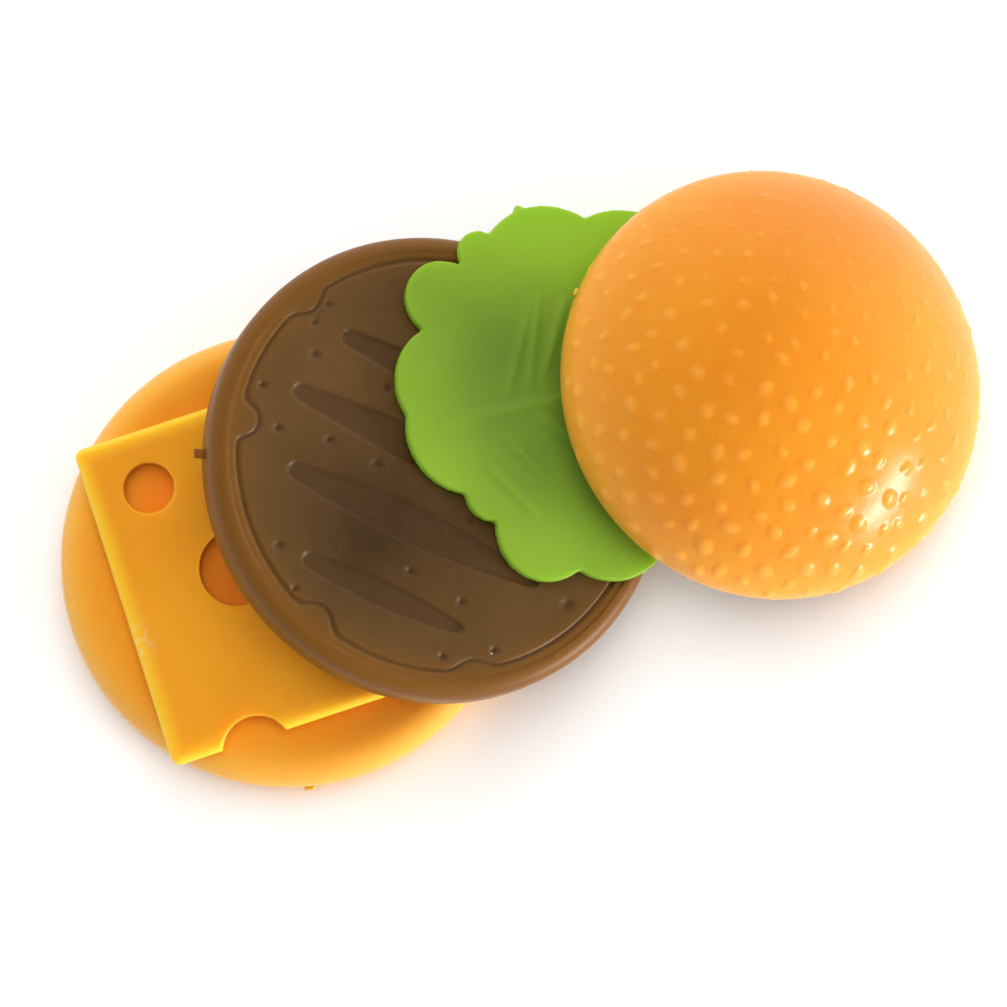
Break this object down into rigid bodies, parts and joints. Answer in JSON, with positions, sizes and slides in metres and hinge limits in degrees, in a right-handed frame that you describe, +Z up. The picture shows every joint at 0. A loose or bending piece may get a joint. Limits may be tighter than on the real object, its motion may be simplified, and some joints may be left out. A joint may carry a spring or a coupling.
{
  "type": "toy burger",
  "caption": "Toy burger for pretend play, laid out as an overlapping fan: two bun halves, a cheese slice, a patty and a lettuce leaf.",
  "frame": {"origin": "middle of the bottom bun's underside, on the surface it rests on", "axes": "+Z up, +X along the fan from the bottom bun towards the top bun, +Y to the fan's left"},
  "size_m": [0.1428, 0.0966, 0.0317],
  "materials": {
    "bun": "soft gloss, slightly translucent",
    "cheese": "satin, slightly translucent",
    "patty": "soft gloss, amber where thin",
    "lettuce": "satin, slightly translucent"
  },
  "bodies": {
    "bottom_bun": {"bottom_bun": "bun"},
    "cheese_slice": {"cheese_slice": "cheese"},
    "patty": {"patty": "patty"},
    "lettuce_leaf": {"lettuce_leaf": "lettuce"},
    "top_bun": {"top_bun": "bun"}
  },
  "joints": [
    {"name": "cheese_lift", "type": "slide", "parent": "bottom_bun", "child": "cheese_slice", "axis": [0, 0, 1], "range_m": [0, 0.03]},
    {"name": "patty_lift", "type": "slide", "parent": "cheese_slice", "child": "patty", "axis": [0, 0, 1], "range_m": [0, 0.04]},
    {"name": "leaf_lift", "type": "slide", "parent": "patty", "child": "lettuce_leaf", "axis": [0, 0, 1], "range_m": [0, 0.04]},
    {"name": "top_bun_lift", "type": "slide", "parent": "lettuce_leaf", "child": "top_bun", "axis": [0, 0, 1], "range_m": [0, 0.05]}
  ]
}
